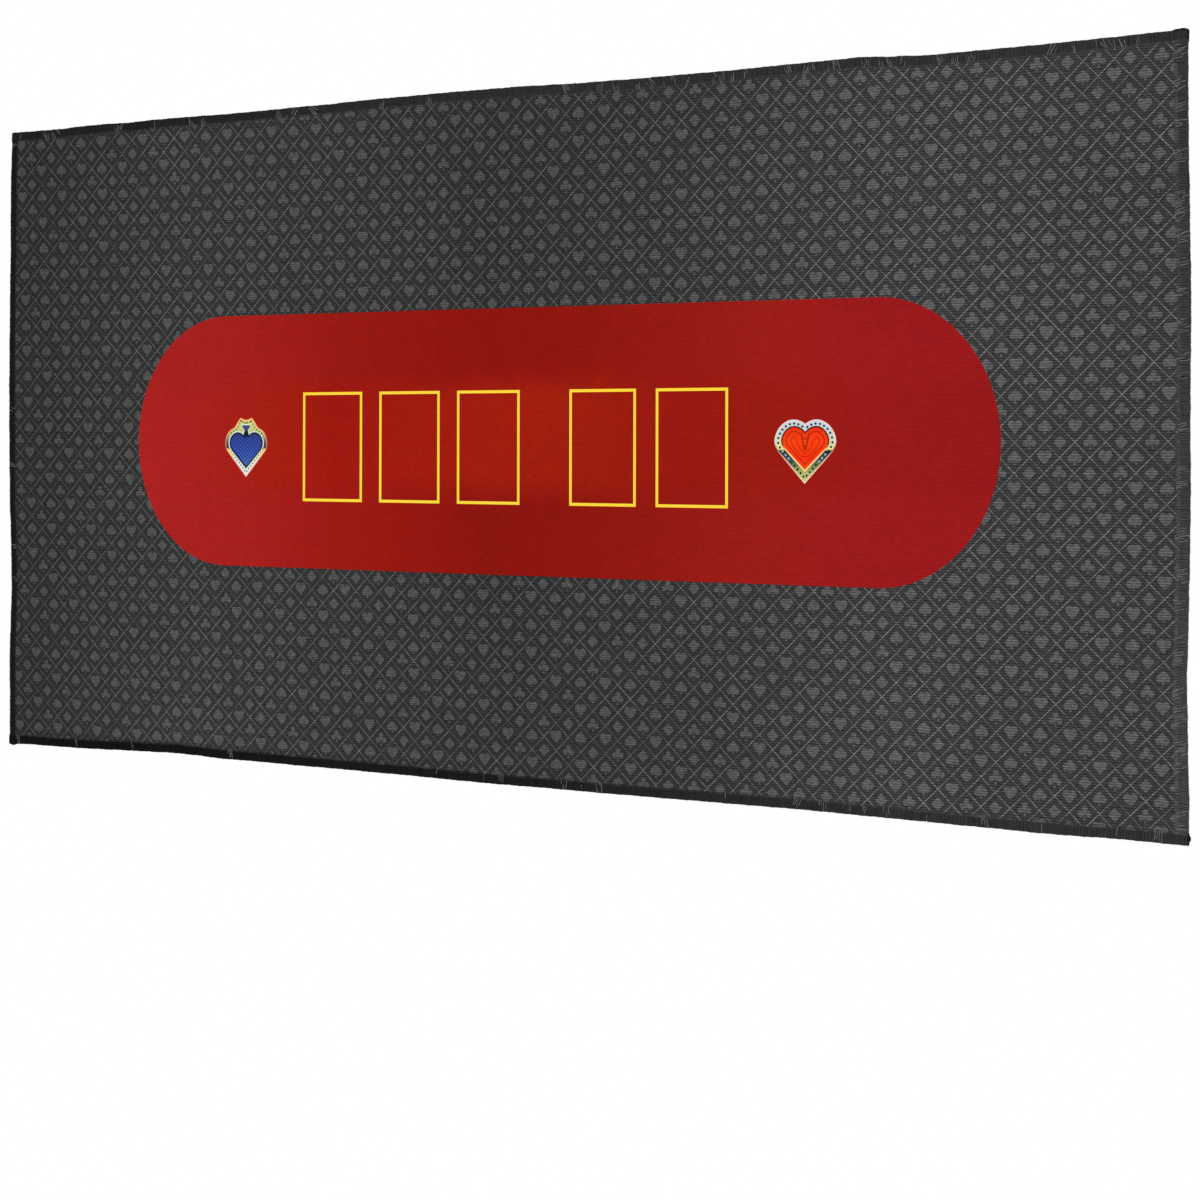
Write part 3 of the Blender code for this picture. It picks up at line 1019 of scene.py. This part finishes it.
for made, node in ((poker_made, "poker_cloth"), (felt_made, "blackjack_cloth")):
    for (k, is_print), (piece, area) in made.items():
        if is_print:
            continue
        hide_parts(node if k < 3 else "%s_%02d" % (node, k - 2))
    for (k, is_print), (piece, area) in made.items():
        if is_print:
            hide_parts(node if k < 3 else "%s_%02d" % (node, k - 2))


# ------------------------------------------------------------------ the edging
YARN_R = 0.50 * MM
YARN_PITCH = 1.16 * MM
BAND = {"front": 10.2 * MM, "back": 10.0 * MM, "left": 10.2 * MM, "right": 11.4 * MM}
SEED = {"front": 11, "back": 12, "left": 13, "right": 14}
SIDES = {
    "front": (lambda s, u, h: (s, Y0 + u, h)),
    "back": (lambda s, u, h: (s, Y1 - u, h)),
    "left": (lambda s, u, h: (X0 + u, s, h)),
    "right": (lambda s, u, h: (X1 - u, s, h)),
}


def tubes(paths, radius, ring=5):
    """paths is (count, points, 3) in (along, in, up); returns verts and quads."""
    paths = np.asarray(paths, float)
    count, m, _ = paths.shape
    tangent = np.gradient(paths, axis=1)
    tangent /= np.maximum(np.linalg.norm(tangent, axis=2, keepdims=True), 1e-12)
    e1 = np.zeros_like(tangent)
    e1[..., 0] = 1
    e1 -= tangent * (e1 * tangent).sum(2, keepdims=True)
    e1 /= np.maximum(np.linalg.norm(e1, axis=2, keepdims=True), 1e-12)
    e2 = np.cross(tangent, e1)
    a = np.arange(ring) * 2 * math.pi / ring
    r = np.broadcast_to(np.asarray(radius, float), (count,))[:, None, None, None]
    ringed = paths[:, :, None] + r * (np.cos(a)[None, None, :, None] * e1[:, :, None] + np.sin(a)[None, None, :, None] * e2[:, :, None])
    verts = ringed.reshape(-1, 3)
    base = (np.arange(count) * m * ring)[:, None, None]
    i = (np.arange(m - 1) * ring)[None, :, None]
    k = np.arange(ring)[None, None, :]
    q = np.stack([base + i + k, base + i + (k + 1) % ring, base + i + ring + (k + 1) % ring, base + i + ring + k], -1)
    return verts, q.reshape(-1, 4)


def section(inner_top, inner_low):
    """Yarn centre line across the edging, as (in, up), for arrays of inner ends."""
    t, b, r = EDGE_H - YARN_R, YARN_R, EDGE_H / 2 - YARN_R
    c = EDGE_H / 2
    n = len(inner_top)
    rows = [
        (inner_top, np.full(n, t - 0.55 * MM)),
        (inner_top - 0.55 * MM, np.full(n, t - 0.08 * MM)),
        (inner_top * 0.62, np.full(n, t + 0.03 * MM)),
        (np.full(n, 2.2 * MM), np.full(n, t)),
    ]
    for d in (45, 90, 135):
        q = math.radians(d)
        rows.append((np.full(n, c - r * math.sin(q)), np.full(n, c + r * math.cos(q))))
    rows += [
        (np.full(n, 2.2 * MM), np.full(n, b)),
        (inner_low * 0.62, np.full(n, b - 0.03 * MM)),
        (inner_low - 0.55 * MM, np.full(n, b + 0.08 * MM)),
        (inner_low, np.full(n, b + 0.55 * MM)),
    ]
    return np.stack([np.stack(pair, 1) for pair in rows], 1)


def place_on(side, local):
    """(along, in, up) to the mat, following its outline and its swell."""
    s = local[:, 0]
    fade = np.clip(1 - local[:, 1] / (2 * EDGE_W), 0, 1)
    u = local[:, 1] + wobble(s + SEED[side]) * fade
    xyz = np.stack(np.broadcast_arrays(*SIDES[side](s, u, local[:, 2])), 1)
    xyz[:, 2] += swell(xyz[:, 0], xyz[:, 1])
    xyz[:, 0], xyz[:, 1] = trim(xyz[:, 0], xyz[:, 1])
    return xyz


def core(side, a, b):
    """The solid body of the edging, under the yarns."""
    n = max(2, int(round((b - a) / (3.1 * MM))) + 1)
    s = np.linspace(a, b, n)
    c, r, w = EDGE_H / 2, EDGE_H / 2 - 0.62 * MM, BAND[side] - 0.4 * MM
    ring = [(c - r * math.sin(math.radians(d)), c + r * math.cos(math.radians(d))) for d in (0, 36, 72, 108, 144, 180)]
    ring += [(w - 0.7 * MM, c - r), (w, c - 0.5 * MM), (w, c + 0.5 * MM), (w - 0.7 * MM, c + r)]
    m = len(ring)
    local = np.array([(q, u, h) for q in s for u, h in ring])
    faces = [
        (i * m + k, i * m + (k + 1) % m, (i + 1) * m + (k + 1) % m, (i + 1) * m + k)
        for i in range(n - 1) for k in range(m)
    ]
    return local, np.array(faces)


def ends_of(side):
    return (X0, X1) if side in ("front", "back") else (Y0, Y1)


def yarns(side, a, b):
    """The wound yarns whose middles lie from a to b along a side."""
    lo, hi = ends_of(side)
    gap = YARN_PITCH * 0.6 + (0 if side in ("front", "back") else EDGE_W * 0.9)
    first, last = lo + gap, hi - gap
    count = int(round((last - first) / YARN_PITCH))
    gen = np.random.default_rng(SEED[side])
    s = first + (last - first) * (np.arange(count) + 0.5) / count
    s = s + gen.normal(0, 0.07 * MM, count)
    wander = 0.30 * MM * np.sin(s * 2 * math.pi / 0.057 + 1.2) + 0.20 * MM * np.sin(s * 2 * math.pi / 0.0213)
    w = BAND[side]
    top_in = w + wander + gen.normal(0, 0.20 * MM, count)
    low_in = w + 0.8 * wander[::-1] + gen.normal(0, 0.20 * MM, count)
    lean = gen.normal(0.9, 0.22, count) * MM
    fat = gen.normal(1.0, 0.07, count) * YARN_R
    sec = section(top_in, low_in)
    along = s[:, None] + lean[:, None] * np.concatenate([np.linspace(0.5, 0.05, 5), [0.0], np.linspace(-0.05, -0.5, 5)])[None]
    paths = np.concatenate([along[:, :, None], sec], 2)
    pick = (s >= a) & (s < b)
    return tubes(paths[pick], fat[pick])


def runs(side, low):
    """Where the paler loops lie on a side's face: (along, from, to, lean, bow, radius) in m."""
    gen = np.random.default_rng(SEED[side] * 7 + (1 if low else 0))
    lo, hi = ends_of(side)
    w = BAND[side]
    out = []
    run = lo + 0.012
    while run < hi - 0.012:
        busy = {"front": 1.0 if run > -0.04 else 0.30, "right": 1.0, "back": 0.22, "left": 0.16}[side]
        if not low:
            busy *= 0.5
        lean = {"front": gen.normal(1.2, 2.2), "right": gen.normal(1.3, 0.5)}.get(side, gen.normal(0.4, 1.2)) * MM
        for k in range(int(gen.integers(3, 7)) if side == "right" else int(gen.integers(1, 5))):
            start = gen.uniform(0.0, 0.35) if gen.random() < 0.6 else gen.uniform(0.3, 0.6)
            stop = min(1.0, start + gen.uniform(0.35, 0.9))
            out.append((run, start * w, stop * w, lean + gen.normal(0, 0.4) * MM, gen.normal(0, 0.6) * MM, gen.uniform(0.11, 0.21) * MM))
            run += gen.uniform(1.5, 2.1) * MM
        run += gen.exponential({"front": 0.013, "right": 0.010}.get(side, 0.016) / busy)
    return np.array(out)


def ticks(side, low):
    """The needle thread's fine dashes along the inner side of the edging."""
    gen = np.random.default_rng(SEED[side] * 13 + (1 if low else 0))
    lo, hi = ends_of(side)
    s = np.arange(lo + 0.014, hi - 0.014, 1.95 * MM)
    s = s + gen.normal(0, 0.12 * MM, len(s))
    show = {"front": 0.85, "back": 0.75, "left": 0.12, "right": 1.0}[side]
    band = 0.5 + 0.5 * np.sin(s * 2 * math.pi / 0.21 + SEED[side])
    s = s[gen.random(len(s)) < show * (0.35 + 0.9 * band)]
    n, w = len(s), BAND[side]
    near = w - gen.uniform(1.0, 1.8, n) * MM
    far = w + gen.uniform(0.1, 0.9, n) * MM
    return np.stack([s, near, far, gen.normal(0.3, 0.5, n) * MM, gen.normal(0, 0.2, n) * MM, gen.uniform(0.10, 0.15, n) * MM], 1)


def laid(rows, a, b, low):
    """Threads lying on the edging's upper or under face."""
    rows = rows[(rows[:, 0] >= a) & (rows[:, 0] < b)]
    if not len(rows):
        return None
    f = np.linspace(0, 1, 6)[None]
    near, far = rows[:, 1:2], rows[:, 2:3]
    u = near + (far - near) * f
    s = rows[:, 0:1] + rows[:, 3:4] * (f - 0.5) + rows[:, 4:5] * f * (1 - f) * 2
    edge = np.clip((2.0 * MM - u) / (2.0 * MM), 0, 1) ** 2 * 1.0 * MM
    rise = 0.02 * MM + 0.06 * MM * np.sin(math.pi * f)
    h = (edge - rise) if low else (EDGE_H + rise - edge)
    return tubes(np.stack([s, u, h + 0 * u], 2), rows[:, 5], 4)


def build_edging(side, part, a, b, node):
    # each side's yarn is its own copy of the thread, painted lighter or darker for the light on that side
    wound = "yarn_" + side
    keys = ["core", wound, "pale", "needle"]
    groups = [(core(side, a, b), "core"), (yarns(side, a, b), wound)]
    for low in (True, False):
        groups += [(laid(runs(side, low), a, b, low), "pale"), (laid(ticks(side, low), a, b, low), "needle")]
    verts, faces, index, offset = [], [], [], 0
    for made, key in groups:
        if made is None:
            continue
        v, q = made
        verts.append(v)
        faces.append(q + offset)
        index += [keys.index(key)] * len(q)
        offset += len(v)
    verts, faces = np.concatenate(verts), np.concatenate(faces)
    # on the sides that mirror the section, turn the faces to look outwards
    if side in ("back", "left"):
        faces = faces[:, ::-1]
    xyz = place_on(side, verts)
    rest = np.stack([xyz[:, 0], xyz[:, 1], verts[:, 2] + verts[:, 1]], 1)
    piece = new_mesh("edging_%s%s" % (side, "" if part is None else "_%02d" % part), xyz, faces, keys, index, rest)
    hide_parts(node)
    return piece


for side in ("front", "back"):
    node = "overlock_" + side
    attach(build_edging(side, None, X0, CUTS[0], node), "sheet")
    for k in range(1, STRIPS + 1):
        stop = CUTS[k] if k < STRIPS else X1
        join_on(build_edging(side, k, CUTS[k - 1], stop, "%s_%02d" % (node, k)), k + 2)
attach(build_edging("left", None, Y0 + EDGE_W * 0.5, Y1 - EDGE_W * 0.5, "overlock_left"), "sheet")
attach(build_edging("right", None, Y0 + EDGE_W * 0.5, Y1 - EDGE_W * 0.5, "overlock_right"), "strip_%02d" % STRIPS)


# where the edging starts and stops, its thread chain is bunched over the corner
def bunch(name, points, radius, body, key, strands=3):
    """Strands twisted together along a path given in mm."""
    pts = np.array(points, float) * MM
    pts[:, 0], pts[:, 1] = trim(pts[:, 0], pts[:, 1])
    n = 30
    t = np.linspace(0, len(pts) - 1, n)
    k = np.clip(t.astype(int), 0, len(pts) - 2)
    f = (t - k)[:, None]
    p0, p1 = pts[np.maximum(k - 1, 0)], pts[k]
    p2, p3 = pts[k + 1], pts[np.minimum(k + 2, len(pts) - 1)]
    curve = 0.5 * ((2 * p1) + (p2 - p0) * f + (2 * p0 - 5 * p1 + 4 * p2 - p3) * f**2 + (3 * p1 - p0 - 3 * p2 + p3) * f**3)
    tangent = np.gradient(curve, axis=0)
    tangent /= np.linalg.norm(tangent, axis=1, keepdims=True)
    side = np.cross(tangent, (0, 0, 1.0))
    side /= np.maximum(np.linalg.norm(side, axis=1, keepdims=True), 1e-9)
    up = np.cross(side, tangent)
    swellout = np.sin(np.linspace(0.15, math.pi - 0.15, n))[:, None] ** 0.5
    verts, faces = [], []
    for q in range(strands):
        turn = np.linspace(0, 2.6 * math.pi, n)[:, None] + q * 2 * math.pi / strands
        middle = curve + 0.55 * radius * MM * swellout * (np.cos(turn) * side + np.sin(turn) * up) * (0 if strands == 1 else 1)
        a = np.arange(6) * math.pi / 3
        thick = (0.62 if strands > 1 else 1.0) * radius * MM * swellout[:, :, None]
        ring = middle[:, None] + thick * (np.cos(a)[None, :, None] * side[:, None] + np.sin(a)[None, :, None] * up[:, None])
        base = len(verts) * n * 6
        verts.append(ring.reshape(-1, 3))
        faces += [(base + i * 6 + m, base + i * 6 + (m + 1) % 6, base + (i + 1) * 6 + (m + 1) % 6, base + (i + 1) * 6 + m) for i in range(n - 1) for m in range(6)]
    piece = new_mesh(name, np.concatenate(verts), faces, [key], np.zeros(len(faces)))
    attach(piece, body)
    return piece


xl, xr, yf_, yb_ = X0 / MM, X1 / MM, Y0 / MM, Y1 / MM
end_body = "strip_%02d" % STRIPS
bunch("bunch_a", [(xr - 15.0, yf_ + 1.6, 1.5), (xr - 10, yf_ + 0.7, 1.5), (xr - 4.5, yf_ + 0.6, 1.5), (xr - 1.0, yf_ + 1.6, 1.5), (xr - 0.8, yf_ + 7.0, 1.5)], 1.2, end_body, "yarn")
bunch("bunch_b", [(xr - 2.2, yb_ - 10.5, 1.5), (xr - 0.3, yb_ - 7.4, 1.5), (xr + 0.3, yb_ - 5.4, 1.5), (xr - 1.6, yb_ - 2.8, 1.5), (xr - 6.5, yb_ - 1.8, 1.5)], 1.2, end_body, "yarn")
bunch("bunch_c", [(xl + 1.6, yb_ - 8.0, 1.5), (xl + 1.4, yb_ - 3.6, 1.5), (xl + 3.4, yb_ - 0.6, 1.5), (xl + 6.5, yb_ - 0.2, 1.5), (xl + 11.0, yb_ - 1.4, 1.5)], 1.15, "sheet", "yarn")
bunch("bunch_d", [(xl + 1.4, yf_ + 8.0, 1.5), (xl + 1.4, yf_ + 3.9, 1.5), (xl + 2.8, yf_ + 1.8, 1.5), (xl + 7.0, yf_ + 1.3, 1.5)], 1.0, "sheet", "yarn")


# --------------------------------------------------------------------- the set
def floor():
    mesh = bpy.data.meshes.new("floor")
    z, q = -1.3 * MM, 30.0
    mesh.from_pydata([(-q, -q, z), (q, -q, z), (q, q, z), (-q, q, z)], [], [(0, 1, 2, 3)])
    made = bpy.data.objects.new("floor", mesh)
    bpy.context.scene.collection.objects.link(made)
    n = Nodes("floor_pale", 0.9)
    n.rest()
    n.colour((0.80, 0.80, 0.80))
    # the floor is there from above only, so that the mat's under face can be seen and lit
    path = n.t.nodes.new("ShaderNodeLightPath")
    geo = n.t.nodes.new("ShaderNodeNewGeometry")
    front = n.math("SUBTRACT", 1.0, geo.outputs["Backfacing"])
    solid = n.mul(path.outputs["Is Camera Ray"], front)
    clear = n.t.nodes.new("ShaderNodeBsdfTransparent")
    blend = n.t.nodes.new("ShaderNodeMixShader")
    n.t.links.new(solid, blend.inputs[0])
    n.t.links.new(clear.outputs[0], blend.inputs[1])
    n.t.links.new(n.p.outputs[0], blend.inputs[2])
    n.t.links.new(blend.outputs[0], n.t.nodes["Material Output"].inputs["Surface"])
    mesh.materials.append(n.m)
    made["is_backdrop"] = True
    return made


floor()

world = bpy.data.worlds.new("studio")
bpy.context.scene.world = world
world.use_nodes = True
wt = world.node_tree
back = wt.nodes["Background"]
path = wt.nodes.new("ShaderNodeLightPath")
level = wt.nodes.new("ShaderNodeMapRange")
wt.links.new(path.outputs["Is Camera Ray"], level.inputs[0])
level.inputs[3].default_value, level.inputs[4].default_value = 0.62, 1.0
back.inputs["Color"].default_value = (1, 1, 1, 1)
wt.links.new(level.outputs[0], back.inputs["Strength"])


def area_light(name, at, aim, size, power):
    data = bpy.data.lights.new(name, "AREA")
    data.shape, data.size, data.energy = "SQUARE", size, power
    made = bpy.data.objects.new(name, data)
    bpy.context.scene.collection.objects.link(made)
    made.location = at
    made.rotation_mode = "QUATERNION"
    made.rotation_quaternion = (Vector(aim) - Vector(at)).to_track_quat("-Z", "Y")
    made.visible_camera = False
    return made


area_light("under_key", (-0.9, 1.1, -2.2), (0, 0, 0), 1.6, 22)
area_light("under_fill", (1.6, -1.4, -1.8), (0, 0, 0), 1.6, 12)
area_light("top_key", (-1.3, 1.2, 2.0), (0, 0, 0), 1.4, 26)
area_light("top_fill", (1.7, -1.5, 1.8), (0, 0, 0), 1.8, 10)

scene = bpy.context.scene
scene.view_settings.view_transform = "Standard"

cam_data = bpy.data.cameras.new("camera")
cam = bpy.data.objects.new("camera", cam_data)
scene.collection.objects.link(cam)
scene.camera = cam
cam_data.sensor_width = 36.0
cam_data.lens = 77.92
cam_data.shift_y = -0.1514
cam_data.clip_start, cam_data.clip_end = 0.05, 100
right = Vector((0.84354195, -0.00246415, 0.53705764))
up_v = Vector((0.00376726, -0.99993772, -0.01050508))
back_v = Vector((0.53705008, 0.0108847, -0.84348013))
cam.matrix_world = Matrix((
    (right.x, up_v.x, back_v.x, 1.28284432),
    (right.y, up_v.y, back_v.y, 0.00803572),
    (right.z, up_v.z, back_v.z, -1.87735678),
    (0, 0, 0, 1),
))

bpy.context.view_layer.update()
SIZES["visual"] = [list(map(float, c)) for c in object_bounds()]
